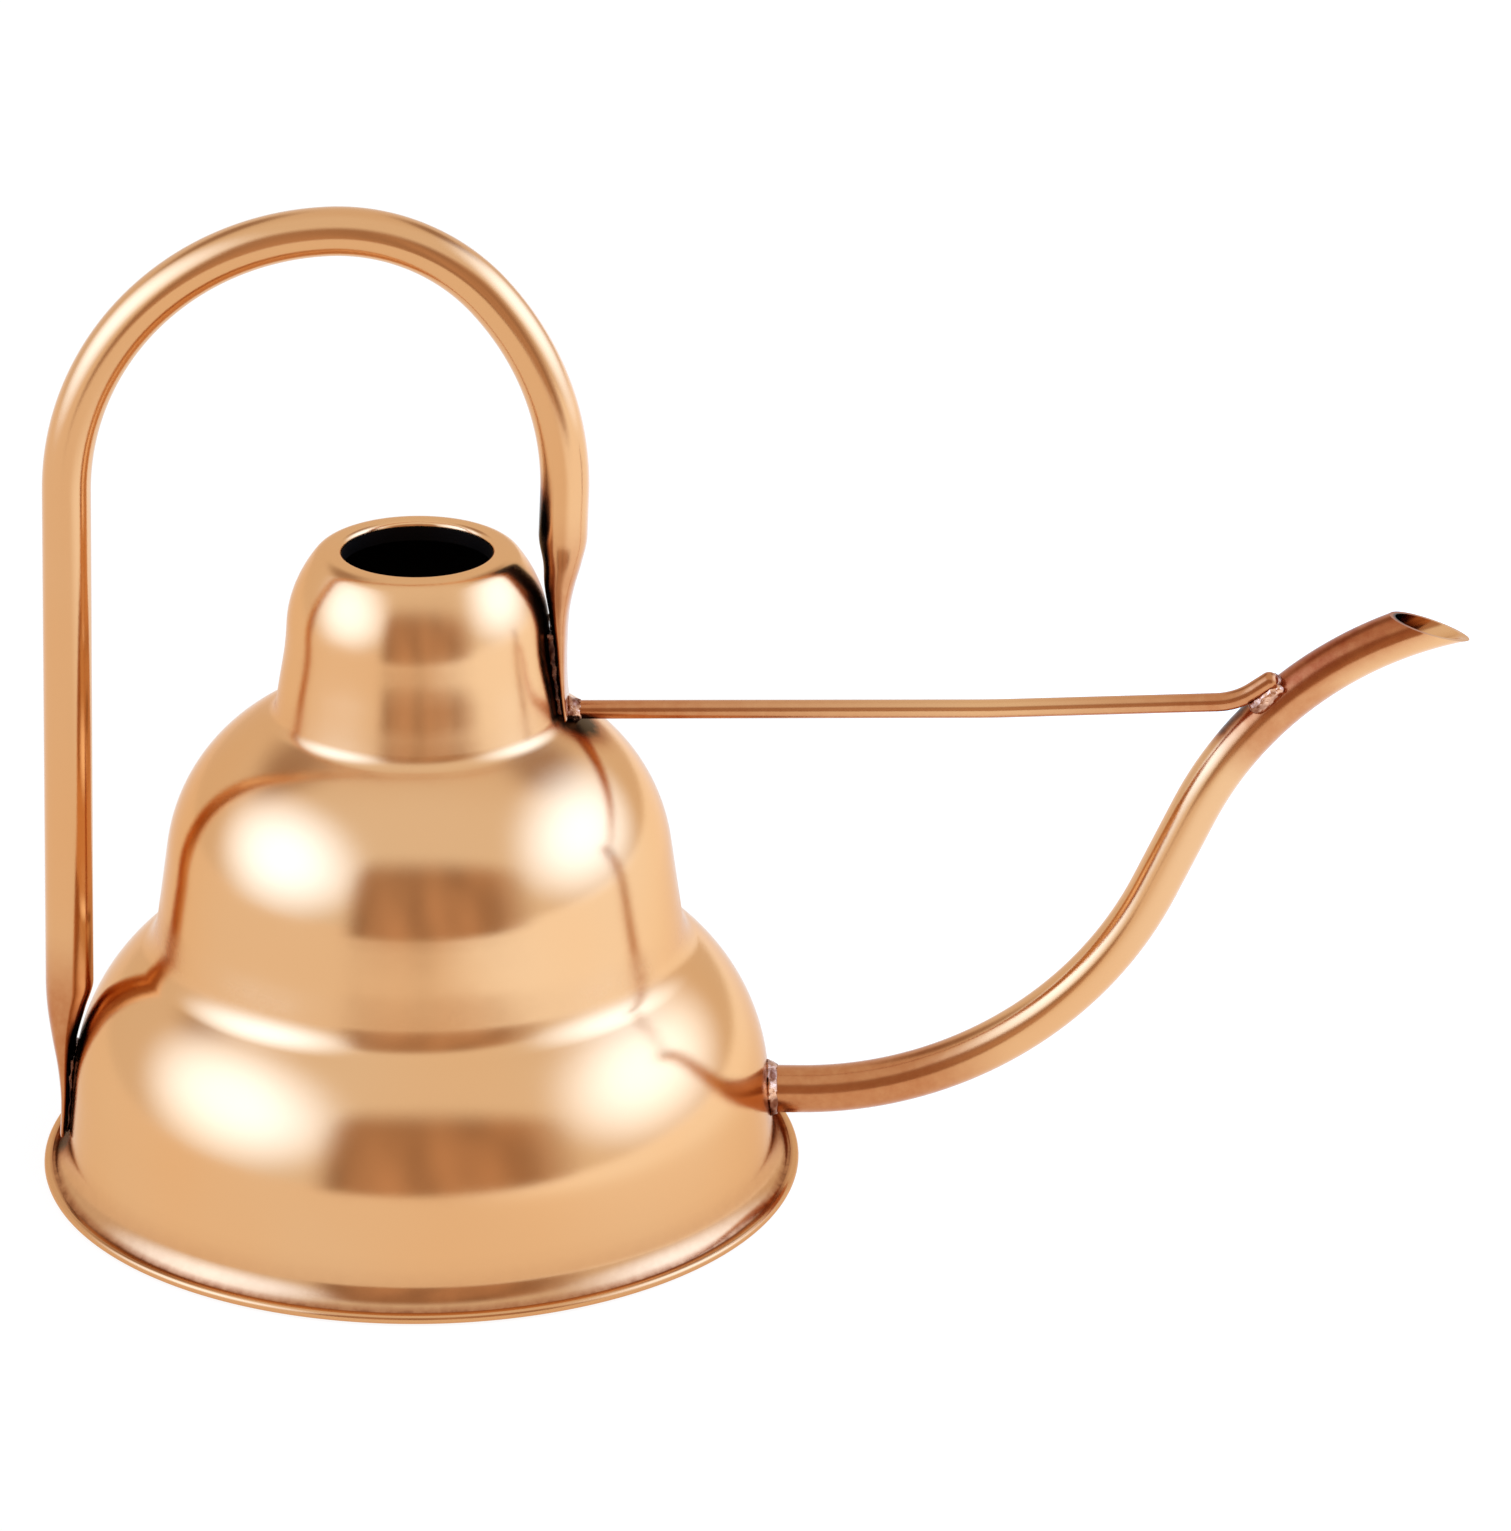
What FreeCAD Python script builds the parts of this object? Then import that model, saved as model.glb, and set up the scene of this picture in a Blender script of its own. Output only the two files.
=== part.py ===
"""A long-spouted watering can with a spun three-tier body, built as separate soldered pieces.

Frame: the origin is on the surface that the can stands on, under the body's axis. +Z is up through the
filling mouth and +X points to the spout. Everything is in millimetres and degrees.
"""

import FreeCAD, Part
import math
import os

# ---- driving dimensions -------------------------------------------------------------------------

RIM_R = 79.4            # outermost radius, at the bead round the base
SHEET = 0.8             # thickness of the spun body
PAN_SHEET = 0.6         # thickness of the base pan
TUBE_R = 5.0            # handle and spout are both 10 mm tube
TUBE_WALL = 0.8
ROD_R = 1.95            # stay rod

# Each tier is a slightly conical wall that runs tangent into a round shoulder. A tier is the shoulder's
# centre (r, z), the shoulder's radius and the wall's lean from vertical.
LOWER = {"centre": (33.4, 17.2), "radius": 39.5, "lean": 5.4}
MIDDLE = {"centre": (15.4, 66.9), "radius": 37.2, "lean": 8.0}
UPPER = {"centre": (-1.5, 117.9), "radius": 28.8, "lean": 7.0}
WAIST_FILLETS = (10.0, 4.0)  # lower waist, upper waist
CREST_START = 37.9           # angle where the upper shoulder turns into the tighter crest
CREST_R = 4.3
MOUTH_R = 15.4               # clear radius of the filling mouth
LIP_BEND_R = 1.2             # outer bend radius where the mouth's lip turns down
LIP_DEPTH = 3.0              # straight length of the turned-down lip
FOOT_BENDS = (1.0, 8.0)      # the wall flares into the flange: a tight bend, then a wide one
FOOT_TURN = 40.0             # how far the tight bend turns before the wide one takes over
FLANGE_R = 78.3
FLANGE_TOP = PAN_SHEET + SHEET

BEAD_BEND = FLANGE_TOP / 2 + PAN_SHEET / 2
PAN_LIP_R = 77.7             # inner edge of the bead's lip, on top of the flange

SPOUT_Z = 16.4               # height of the spout's axis where it leaves the body
SPOUT_START_X = 70.5         # the tube's inner end, just inside the body's wall
SPOUT_STRAIGHT = 9.0
SPOUT_RISE = (80.2, 65.7)    # bend radius, turn
SPOUT_MIDDLE = 18.8
SPOUT_FALL = (77.2, 56.0)
TIP_CUT = ((199.0, 124.8), (214.9, 119.8))   # the slanting cut seen from the side, heel to point

HANDLE_FOOT = (-73.4, 40.0)  # top of the rear flattened end, on the tube's axis
HANDLE_LEAN = 1.1            # the rear leg leans in by this much as it rises
HANDLE_LEG = 109.2
HANDLE_BENDS = ((57.2, 86.0), (40.0, 51.0), (60.1, 44.0))
HANDLE_FRONT_LEG = 9.0

# Flattened ends of the handle, from the round tube to the tip: (z, x of the middle, thickness).
REAR_END = ((34.0, -74.15, 8.0), (28.0, -74.6, 5.4), (22.0, -74.6, 3.2), (16.0, -74.6, 2.0),
            (11.0, -74.85, 1.6), (7.2, -75.15, 1.5))
FRONT_END = ((134.5, 29.65, 7.8), (130.0, 29.1, 6.3), (124.5, 29.0, 4.3), (118.0, 29.35, 2.75),
             (112.0, 29.6, 2.0), (107.0, 29.95, 1.5), (102.6, 30.4, 1.3))
PRESS_START = 9.94           # width where the pressing starts, just under the tube's
CLOSED_UP = 0.35             # the tube is pressed shut where less space than this would be left inside
SQUARENESS_FLAT = 0.7        # shape of a pressed section: 1 is an ellipse, less is squarer
SECTION_POINTS = 16

ROD_POINTS = ((29.5, 0.0, 102.0), (118.0, -1.9, 103.9), (168.2, -2.95, 106.4), (176.2, -3.3, 112.3))
ROD_BENDS = (300.0, 14.0)

SOLDER_WIDTH = 12.0          # solder behind each flattened end, between it and the body
SOLDER_DEPTH = 6.0
SOLDER_TOPS = (24.0, 121.0)  # rear, front
SEAM_BEAD = ((171.2, -4.1, 105.0), (176.2, -4.1, 109.8))   # solder along the rod's front seam
SEAM_BEAD_R = 1.7
SEAM_BEAD_ROUNDING = 0.6     # rounding of the seam bead's ends, as a share of its radius
END_GAPS = (0.4, 0.25)       # the solder behind a flattened end stops this far inside its tip and outer face
BASE_FILLET = (3.0, 2.4)     # solder inside the foot: reach over the pan, height up the wall
ROOT_CONE = (1.5, 0.1, 2.8)  # solder over the spout's radius, at the wall and at its outer end, and its length
REAR_CONE = (1.3, 0.1, 4.2)  # the same for the rod's rear end
BURIED = 1.0                 # how far a fillet of solder starts inside the metal it is trimmed to

PARTS = {}


# ---- outlines: lines and arcs that can be offset exactly ------------------------------------------

def line(start, end):
    return ("line", start, end)


def arc(centre, radius, start, end):
    """Angles in degrees from +r. It turns left (anticlockwise) when end is more than start."""
    return ("arc", centre, radius, start, end)


def on_circle(centre, radius, angle):
    a = math.radians(angle)
    return (centre[0] + radius * math.cos(a), centre[1] + radius * math.sin(a))


def offset_left(segment, distance):
    """The same line or arc moved to the left of its direction."""
    if segment[0] == "line":
        (x0, z0), (x1, z1) = segment[1:]
        length = math.hypot(x1 - x0, z1 - z0)
        nx, nz = -(z1 - z0) / length * distance, (x1 - x0) / length * distance
        return line((x0 + nx, z0 + nz), (x1 + nx, z1 + nz))
    centre, radius, start, end = segment[1:]
    return arc(centre, radius - distance if end > start else radius + distance, start, end)


def ends(segment):
    if segment[0] == "line":
        return segment[1], segment[2]
    centre, radius, start, end = segment[1:]
    return on_circle(centre, radius, start), on_circle(centre, radius, end)


def vector(point):
    return FreeCAD.Vector(point[0], 0, point[1])


def edge(segment):
    first, last = ends(segment)
    if segment[0] == "line":
        return Part.LineSegment(vector(first), vector(last)).toShape()
    centre, radius, start, end = segment[1:]
    middle = on_circle(centre, radius, (start + end) / 2)
    return Part.Arc(vector(first), vector(middle), vector(last)).toShape()


def closed_face(loops):
    """A face whose boundary runs through these segments, with straight joins where they don't meet."""
    edges = []
    for i, segment in enumerate(loops):
        edges.append(edge(segment))
        gap_start = ends(segment)[1]
        gap_end = ends(loops[(i + 1) % len(loops)])[0]
        if math.dist(gap_start, gap_end) > 1e-6:
            edges.append(edge(line(gap_start, gap_end)))
    return Part.Face(Part.Wire(edges))


def reverse(segment):
    if segment[0] == "line":
        return line(segment[2], segment[1])
    centre, radius, start, end = segment[1:]
    return arc(centre, radius, end, start)


def spin(face):
    return face.revolve(FreeCAD.Vector(0, 0, 0), FreeCAD.Vector(0, 0, 1), 360)


def sheet(outline, thickness):
    """A spun sheet: the outline is one surface, and the metal lies to its left."""
    inside = [reverse(offset_left(s, thickness)) for s in reversed(outline)]
    return spin(closed_face(outline + inside))


# ---- the body's outline ----------------------------------------------------------------------------

def wall_offset(tier):
    """Distance of the tier's wall line from the origin, along the wall's outward normal."""
    a = math.radians(tier["lean"])
    r, z = tier["centre"]
    return r * math.cos(a) + z * math.sin(a) + tier["radius"]


def wall_point(tier, z):
    a = math.radians(tier["lean"])
    return ((wall_offset(tier) - z * math.sin(a)) / math.cos(a), z)


def waist(below, above, fillet):
    """Centre of the hollow fillet between a shoulder and the next wall, and the shoulder's end angle."""
    a = math.radians(above["lean"])
    r, z = below["centre"]
    reach = below["radius"] + fillet
    along = (wall_offset(above) + fillet - r * math.cos(a) - z * math.sin(a)) / reach
    angle = above["lean"] + math.degrees(math.acos(along))
    return on_circle(below["centre"], reach, angle), angle


def foot_bends():
    """The two hollow bends that carry the flange's top into the lowest wall."""
    tight, wide = FOOT_BENDS
    a = math.radians(LOWER["lean"])
    handover = 270 - FOOT_TURN
    shift = on_circle((0, 0), wide - tight, handover)
    tight_z = FLANGE_TOP + tight
    reach = wall_offset(LOWER) + wide + shift[0] * math.cos(a) + (shift[1] - tight_z) * math.sin(a)
    tight_r = reach / math.cos(a)
    wide_centre = (tight_r - shift[0], tight_z - shift[1])
    return [
        arc((tight_r, tight_z), tight, 270, handover),
        arc(wide_centre, wide, handover, 180 + LOWER["lean"]),
    ]


def body_outline():
    """The body's outer surface from the flange's edge up to the mouth, with the metal on its left."""
    bends = foot_bends()
    segments = [line((FLANGE_R, FLANGE_TOP), ends(bends[0])[0])] + bends
    for below, above, fillet in ((LOWER, MIDDLE, WAIST_FILLETS[0]), (MIDDLE, UPPER, WAIST_FILLETS[1])):
        centre, angle = waist(below, above, fillet)
        wall_top = on_circle(below["centre"], below["radius"], below["lean"])
        segments += [
            line(ends(segments[-1])[1], wall_top),
            arc(below["centre"], below["radius"], below["lean"], angle),
            arc(centre, fillet, angle + 180, above["lean"] + 180),
        ]
    wall_top = on_circle(UPPER["centre"], UPPER["radius"], UPPER["lean"])
    crest_centre = on_circle(UPPER["centre"], UPPER["radius"] - CREST_R, CREST_START)
    crest_z = crest_centre[1] + CREST_R
    lip_centre = (MOUTH_R + LIP_BEND_R, crest_z - LIP_BEND_R)
    return segments + [
        line(ends(segments[-1])[1], wall_top),
        arc(UPPER["centre"], UPPER["radius"], UPPER["lean"], CREST_START),
        arc(crest_centre, CREST_R, CREST_START, 90),
        line((crest_centre[0], crest_z), (lip_centre[0], crest_z)),
        arc(lip_centre, LIP_BEND_R, 90, 180),
        line((MOUTH_R, lip_centre[1]), (MOUTH_R, lip_centre[1] - LIP_DEPTH)),
    ]


def body_block():
    """The body as a filled block, for trimming what is soldered to it."""
    outline = body_outline()[:-2]
    top = ends(outline[-1])[1]
    bottom = ends(outline[0])[0]
    return spin(closed_face(outline + [line((0, top[1]), (0, bottom[1]))]))


# ---- tubes and rods ---------------------------------------------------------------------------------

def trail(start, heading, moves):
    """Edges of a path in the XZ plane. A move is (length,) straight ahead, or (radius, turn), left positive."""
    segments, point = [], start
    for move in moves:
        if len(move) == 1:
            a = math.radians(heading)
            end = (point[0] + move[0] * math.cos(a), point[1] + move[0] * math.sin(a))
            segments.append(line(point, end))
        else:
            radius, turn = move
            side = math.copysign(90, turn)
            centre = on_circle(point, radius, heading + side)
            segments.append(arc(centre, radius, heading - side, heading - side + turn))
            heading += turn
        point = ends(segments[-1])[1]
    return segments, point, heading


def sweep(path, radius):
    """A round bar along a wire."""
    start = path.Edges[0].valueAt(path.Edges[0].FirstParameter)
    direction = path.Edges[0].tangentAt(path.Edges[0].FirstParameter)
    circle = Part.Wire(Part.makeCircle(radius, start, direction))
    return path.makePipeShell([circle], True, True)


def tube_path(segments):
    return Part.Wire([edge(s) for s in segments])


def pressed_section(centre, normal_angle, across, thick):
    """A round section pressed towards two flats, long along Y. The plane's normal is in the XZ plane."""
    a = math.radians(normal_angle)
    through = FreeCAD.Vector(math.sin(a), 0, -math.cos(a)) * (thick / 2)
    along = FreeCAD.Vector(0, across / 2, 0)
    squareness = SQUARENESS_FLAT + (1 - SQUARENESS_FLAT) * thick / across
    points = []
    for i in range(SECTION_POINTS):
        t = 2 * math.pi * i / SECTION_POINTS
        u = math.copysign(abs(math.cos(t)) ** squareness, math.cos(t))
        v = math.copysign(abs(math.sin(t)) ** squareness, math.sin(t))
        points.append(vector(centre) + through * u + along * v)
    curve = Part.BSplineCurve()
    curve.interpolate(Points=points, PeriodicFlag=True)
    return Part.Wire(curve.toShape())


def flat_width(thickness):
    """Width of a round tube pressed to this thickness, its girth unchanged."""
    return math.pi * TUBE_R - (math.pi / 2 - 1) * thickness


def pressed_end(joint, heading, stations, inset=0.0):
    """The flattened end of the handle, lofted from the round tube. With an inset it is the space inside."""
    sections = [pressed_section(joint, heading, PRESS_START - 2 * inset, PRESS_START - 2 * inset)]
    for z, x, thickness in stations:
        if thickness - 2 * inset > CLOSED_UP:
            sections.append(pressed_section((x, z), 90.0, flat_width(thickness) - 2 * inset,
                                            thickness - 2 * inset))
    return Part.makeLoft(sections, True, False)


def tangent_wire(points, radii):
    """A wire through points in space, with a tangent arc in place of each inner point."""
    corners = [FreeCAD.Vector(*p) for p in points]
    edges, start = [], corners[0]
    for before, corner, after, radius in zip(corners, corners[1:], corners[2:], radii):
        back, ahead = (before - corner).normalize(), (after - corner).normalize()
        half = back.getAngle(ahead) / 2
        reach = radius / math.tan(half)
        middle = (back + ahead).normalize() * (radius / math.sin(half) - radius)
        edges.append(Part.LineSegment(start, corner + back * reach).toShape())
        edges.append(Part.Arc(corner + back * reach, corner + middle, corner + ahead * reach).toShape())
        start = corner + ahead * reach
    edges.append(Part.LineSegment(start, corners[-1]).toShape())
    return Part.Wire(edges)


# ---- the pieces -----------------------------------------------------------------------------------------

def make_body_shell(spout_block):
    return sheet(body_outline(), SHEET).cut(spout_block)


def make_base_pan():
    """A flat disc whose edge rolls up and folds back over the body's flange."""
    roll_r = RIM_R - BEAD_BEND
    outline, _, _ = trail((0, 0), 0, [(roll_r,), (BEAD_BEND, 180), (roll_r - PAN_LIP_R,)])
    return sheet(outline, PAN_SHEET)


def make_base_seam_solder(shell):
    """The sealing fillet inside the can, between the pan and the body's foot."""
    reach, height = BASE_FILLET
    wall_r = wall_point(LOWER, PAN_SHEET)[0]
    toe = (wall_r - reach, PAN_SHEET)
    heel = (wall_r + reach, PAN_SHEET)
    top = (wall_r, PAN_SHEET + height)
    ring = spin(closed_face([line(toe, heel), line(heel, top), line(top, toe)]))
    return ring.cut(shell)


def spout_solids():
    moves = [(SPOUT_STRAIGHT,), SPOUT_RISE, (SPOUT_MIDDLE,), (SPOUT_FALL[0], -SPOUT_FALL[1])]
    segments, _, _ = trail((SPOUT_START_X, SPOUT_Z), 0, moves)
    outer = sweep(tube_path(segments), TUBE_R)
    bore = sweep(tube_path(segments), TUBE_R - TUBE_WALL)
    (heel_x, heel_z), (point_x, point_z) = TIP_CUT
    slope = math.atan2(point_z - heel_z, point_x - heel_x)
    size = 8 * TUBE_R
    knife = Part.makeBox(2 * size, 2 * size, size, FreeCAD.Vector(-size, -size, 0))
    knife.rotate(FreeCAD.Vector(0, 0, 0), FreeCAD.Vector(0, 1, 0), -math.degrees(slope))
    knife.translate(FreeCAD.Vector(heel_x, 0, heel_z))
    return outer.cut(knife), bore.cut(knife)


def make_spout_root_solder(body, spout_block):
    """A raised fillet round the spout where it enters the body's wall."""
    start = FreeCAD.Vector(wall_point(LOWER, SPOUT_Z)[0] - BURIED, 0, SPOUT_Z)
    at_wall, outer_end, length = ROOT_CONE
    cone = Part.makeCone(TUBE_R + at_wall, TUBE_R + outer_end, length, start, FreeCAD.Vector(1, 0, 0))
    return cone.cut(body).cut(spout_block)


def make_handle():
    """The hoop of tube, and its two pressed ends as filled blocks for fitting solder to."""
    moves = [(HANDLE_LEG,)] + [(r, -turn) for r, turn in HANDLE_BENDS] + [(HANDLE_FRONT_LEG,)]
    start_heading = 90 - HANDLE_LEAN
    segments, front, heading = trail(HANDLE_FOOT, start_heading, moves)
    path = tube_path(segments)
    hoop = sweep(path, TUBE_R).cut(sweep(path, TUBE_R - TUBE_WALL))
    blocks, hollow_ends = [], []
    joints = ((HANDLE_FOOT, start_heading, REAR_END), (front, heading + 180, FRONT_END))
    for joint, angle, stations in joints:
        block = pressed_end(joint, angle, stations)
        blocks.append(block)
        hollow_ends.append(block.cut(pressed_end(joint, angle, stations, TUBE_WALL)))
    return hoop.fuse(hollow_ends), blocks


def make_handle_solder(tip, top, side, body, end_block):
    """Solder that fills the space between a flattened end and the body. Side is +1 or -1 along X."""
    low = tip[0] + END_GAPS[0]
    outer_x = tip[1] - side * END_GAPS[1]
    corner = FreeCAD.Vector(min(outer_x, outer_x - side * SOLDER_DEPTH), -SOLDER_WIDTH / 2, low)
    block = Part.makeBox(SOLDER_DEPTH, SOLDER_WIDTH, top - low, corner)
    return block.cut(body).cut(end_block)


def make_stay_rear_solder(body, end_block, rod):
    start, ahead = (FreeCAD.Vector(*point) for point in ROD_POINTS[:2])
    at_wall, outer_end, length = REAR_CONE
    cone = Part.makeCone(ROD_R + at_wall, ROD_R + outer_end, length, start, ahead - start)
    return cone.cut(body).cut(end_block).cut(rod)


def make_stay_front_solder(spout_block, rod):
    """A bead along the seam between the rod's bent end and the spout."""
    start, end = (FreeCAD.Vector(*point) for point in SEAM_BEAD)
    bead = Part.makeCylinder(SEAM_BEAD_R, (end - start).Length, start, end - start)
    bead = bead.makeFillet(SEAM_BEAD_R * SEAM_BEAD_ROUNDING, bead.Edges[:1] + bead.Edges[2:])
    return bead.cut(spout_block).cut(rod)


def largest(shape):
    """Booleans on touching surfaces can leave crumbs, so only the largest solid counts."""
    return max(shape.Solids, key=lambda s: s.Volume)


def build():
    body = body_block()
    spout_outer, spout_bore = spout_solids()
    handle, (rear_block, front_block) = make_handle()
    rod = sweep(tangent_wire(ROD_POINTS, ROD_BENDS), ROD_R).cut(front_block).cut(spout_outer).cut(body)
    rod = largest(rod)
    shell = make_body_shell(spout_outer)
    PARTS["body_shell"] = shell
    PARTS["base_pan"] = make_base_pan()
    PARTS["base_seam_solder"] = make_base_seam_solder(shell)
    PARTS["spout_tube"] = spout_outer.cut(spout_bore)
    PARTS["spout_root_solder"] = make_spout_root_solder(body, spout_outer)
    PARTS["handle_tube"] = handle
    rear_top, front_top = SOLDER_TOPS
    PARTS["handle_rear_solder"] = make_handle_solder(REAR_END[-1], rear_top, -1, body, rear_block)
    PARTS["handle_front_solder"] = make_handle_solder(FRONT_END[-1], front_top, 1, body, front_block)
    PARTS["stay_rod"] = rod
    PARTS["stay_rear_solder"] = make_stay_rear_solder(body, front_block, rod)
    PARTS["stay_front_solder"] = make_stay_front_solder(spout_outer, rod)


def export():
    os.makedirs("parts", exist_ok=True)
    for name, shape in PARTS.items():
        solid = largest(shape)
        solid.exportStep(f"parts/{name}.step")
        box = solid.BoundBox
        print(f"{name}: {len(shape.Solids)} solid(s), valid {solid.isValid()}, {solid.Volume:.0f} mm3, "
              f"x {box.XMin:.1f} to {box.XMax:.1f}, y {box.YMin:.1f} to {box.YMax:.1f}, "
              f"z {box.ZMin:.2f} to {box.ZMax:.2f}")


build()
export()
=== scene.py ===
import math

import bmesh
import bpy
import numpy as np
from mathutils import Matrix, Vector, noise


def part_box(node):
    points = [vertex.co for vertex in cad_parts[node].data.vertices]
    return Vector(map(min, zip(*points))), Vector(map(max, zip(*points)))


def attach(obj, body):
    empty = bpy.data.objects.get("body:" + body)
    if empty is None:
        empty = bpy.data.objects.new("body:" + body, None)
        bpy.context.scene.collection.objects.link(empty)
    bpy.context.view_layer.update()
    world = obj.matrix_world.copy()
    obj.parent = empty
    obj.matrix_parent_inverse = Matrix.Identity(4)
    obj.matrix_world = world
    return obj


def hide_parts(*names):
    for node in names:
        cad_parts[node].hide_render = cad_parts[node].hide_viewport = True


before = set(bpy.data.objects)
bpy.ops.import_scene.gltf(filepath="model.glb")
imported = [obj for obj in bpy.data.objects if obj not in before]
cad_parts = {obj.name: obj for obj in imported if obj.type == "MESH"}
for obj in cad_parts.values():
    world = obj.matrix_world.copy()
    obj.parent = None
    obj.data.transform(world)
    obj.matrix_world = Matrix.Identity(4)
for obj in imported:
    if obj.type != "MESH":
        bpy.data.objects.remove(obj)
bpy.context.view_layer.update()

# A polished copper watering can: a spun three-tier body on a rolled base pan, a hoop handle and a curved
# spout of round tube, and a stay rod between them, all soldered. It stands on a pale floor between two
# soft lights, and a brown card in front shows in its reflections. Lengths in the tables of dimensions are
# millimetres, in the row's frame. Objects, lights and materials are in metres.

MM = 0.001

# ---- dimensions, the same as the CAD's -----------------------------------------------------------

RIM_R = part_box("base_pan")[1].x / MM
SHEET = 0.8
PAN_SHEET = 0.6
TUBE_R = 5.0
TUBE_WALL = 0.8
ROD_R = 1.95
LOWER = {"centre": (33.4, 17.2), "radius": 39.5, "lean": 5.4}
MIDDLE = {"centre": (15.4, 66.9), "radius": 37.2, "lean": 8.0}
UPPER = {"centre": (-1.5, 117.9), "radius": 28.8, "lean": 7.0}
WAIST_FILLETS = (10.0, 4.0)
CREST_START = 37.9
CREST_R = 4.3
MOUTH_R = 15.4
LIP_BEND_R = 1.2
LIP_DEPTH = 3.0
FOOT_BENDS = (1.0, 8.0)
FOOT_TURN = 40.0
FLANGE_R = 78.3
FLANGE_TOP = PAN_SHEET + SHEET
BEAD_BEND = FLANGE_TOP / 2 + PAN_SHEET / 2
PAN_LIP_R = 77.7
SPOUT_START = (70.5, 16.4)
SPOUT_MOVES = ((9.0,), (80.2, 65.7), (18.8,), (77.2, -56.0))
TIP_CUT = ((199.0, 124.8), (214.9, 119.8))
HANDLE_FOOT = (-73.4, 40.0)
HANDLE_LEAN = 1.1
HANDLE_MOVES = ((109.2,), (57.2, -86.0), (40.0, -51.0), (60.1, -44.0), (9.0,))
REAR_END = ((34.0, -74.15, 8.0), (28.0, -74.6, 5.4), (22.0, -74.6, 3.2), (16.0, -74.6, 2.0),
            (11.0, -74.85, 1.6), (7.2, -75.15, 1.5))
FRONT_END = ((134.5, 29.65, 7.8), (130.0, 29.1, 6.3), (124.5, 29.0, 4.3), (118.0, 29.35, 2.75),
             (112.0, 29.6, 2.0), (107.0, 29.95, 1.5), (102.6, 30.4, 1.3))
SQUARENESS_FLAT = 0.7
END_ROUNDING = ((0.25, 0.93), (0.40, 0.75))   # under a pressed end: how far down, and the share left
ROD_POINTS = ((29.5, 0.0, 102.0), (118.0, -1.9, 103.9), (168.2, -2.95, 106.4), (176.2, -3.3, 112.3))
ROD_BENDS = (300.0, 14.0)

# ---- mesh resolution -----------------------------------------------------------------------------

AROUND_BODY = 320
AROUND_TUBE = 48
AROUND_ROD = 24
# Between points: millimetres of a straight, degrees of a bend, and degrees of a bend under SMALL_BEND.
BODY_STEPS = (3.0, 2.0, 12.0)
PAN_STEPS = (6.0, 10.0, 10.0)
HANDLE_STEPS = (3.0, 1.8, 1.8)
SPOUT_STEPS = (2.25, 1.65, 1.65)
SMALL_BEND = 6.0
PRESSED_STEP = 1.0       # between the rows of a pressed end
CUT_REACH = 6.0          # the spout's rings begin to lean this far before its slanted cut
CUT_RINGS = 14
CUT_SEARCH_FROM = 0.75   # share of the spout's length after which the cut can come
CUT_HALVINGS = 30
ROD_BEND_STEPS = 8
ROD_END_STEPS = 6        # of ROD_END_STEP degrees, round the rod's front end
ROD_END_STEP = 12
SHARP_ANGLE = 35.0
SAME_POINT = 1e-4
ON_AXIS = 1e-6
TINY = 1e-9

# ---- details of the surface ----------------------------------------------------------------------

HOLLOW = (116.0, 6.5, 0.45)   # a slight hollow round the top tier's wall: height, reach, depth
LIP_ROWS = 2             # last points of the body's outline, on the mouth's turned-down lip
WALL_FOOT_R = 60.0       # everything outside this radius and near the flange is the wall's foot
DULL_REACH = 6.0         # above and below a waist
DULL_CORE = 1.3          # over 1, so that a waist is quite dull for a part of that reach
TOP_TIER_DULL = 0.55     # the top tier is too small for the wheel to have polished it well
GROOVE_REACH = 2.2       # painted shade in the crease above the flange
FOOT_REACH = 12.0        # how far up the wall its foot is darkened with painted shade
FOOT_PAINTED_SHADE = 0.45
PAN_LIP_PAINTED_SHADE = 0.7
PAN_LIP_EDGE = 0.1
BRIGHT_BORE_FROM = 208.0   # the spout's bore is dark, except where the point is open to the light
BORE_FADE = 9.0

# ---- where heat has coloured the copper, and where shade is painted on: (start, end, reach, strength) ---
# A strength of 1 is a brown flush, and in the shade tables painted brown shade; 2 is scorched dark, and
# there painted black shade.

BODY_HEAT = (((76.0, 0.0, 16.4), (76.0, 0.0, 16.4), 14.0, 1.0),
             ((-75.0, 0.0, 10.0), (-74.0, 0.0, 24.0), 15.0, 1.4),
             ((31.0, 0.0, 102.0), (28.0, 0.0, 124.0), 14.0, 1.3))
HANDLE_HEAT = (((-75.0, 0.0, 10.0), (-75.0, 0.0, 20.0), 34.0, 1.0),
               ((30.0, 0.0, 104.0), (30.0, 0.0, 118.0), 30.0, 0.8))
SPOUT_HEAT = (((74.0, 0.0, 16.4), (88.0, 0.0, 16.4), 40.0, 1.0),
              ((171.0, 0.0, 109.5), (187.0, 0.0, 121.5), 12.0, 2.0),
              ((187.0, 0.0, 121.5), (203.0, 0.0, 129.5), 12.0, 1.8),
              ((176.0, 0.0, 106.0), (176.0, 0.0, 106.0), 20.0, 0.9))
ROD_HEAT_AND_SHADE = (((30.0, 0.0, 102.0), (30.0, 0.0, 102.0), 24.0, 1.2),
            ((160.0, -3.0, 106.0), (177.0, -3.0, 112.0), 20.0, 1.0),
            # The last two rows paint shade along the rod's underside, making it darker below than above.
            ((36.0, -0.5, 99.0), (118.0, -2.4, 100.6), 3.4, 1.2),
            ((118.0, -2.4, 100.6), (168.0, -3.4, 103.2), 3.4, 1.4))
# Painted shade: black on the body beside the handle's front tab and its rear foot.
BODY_PAINTED_SHADE = (((31.0, 0.0, 101.0), (28.5, 0.0, 120.0), 11.0, 2.0),
             ((-76.0, 0.0, 8.0), (-74.5, 0.0, 24.0), 11.0, 2.0))
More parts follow.
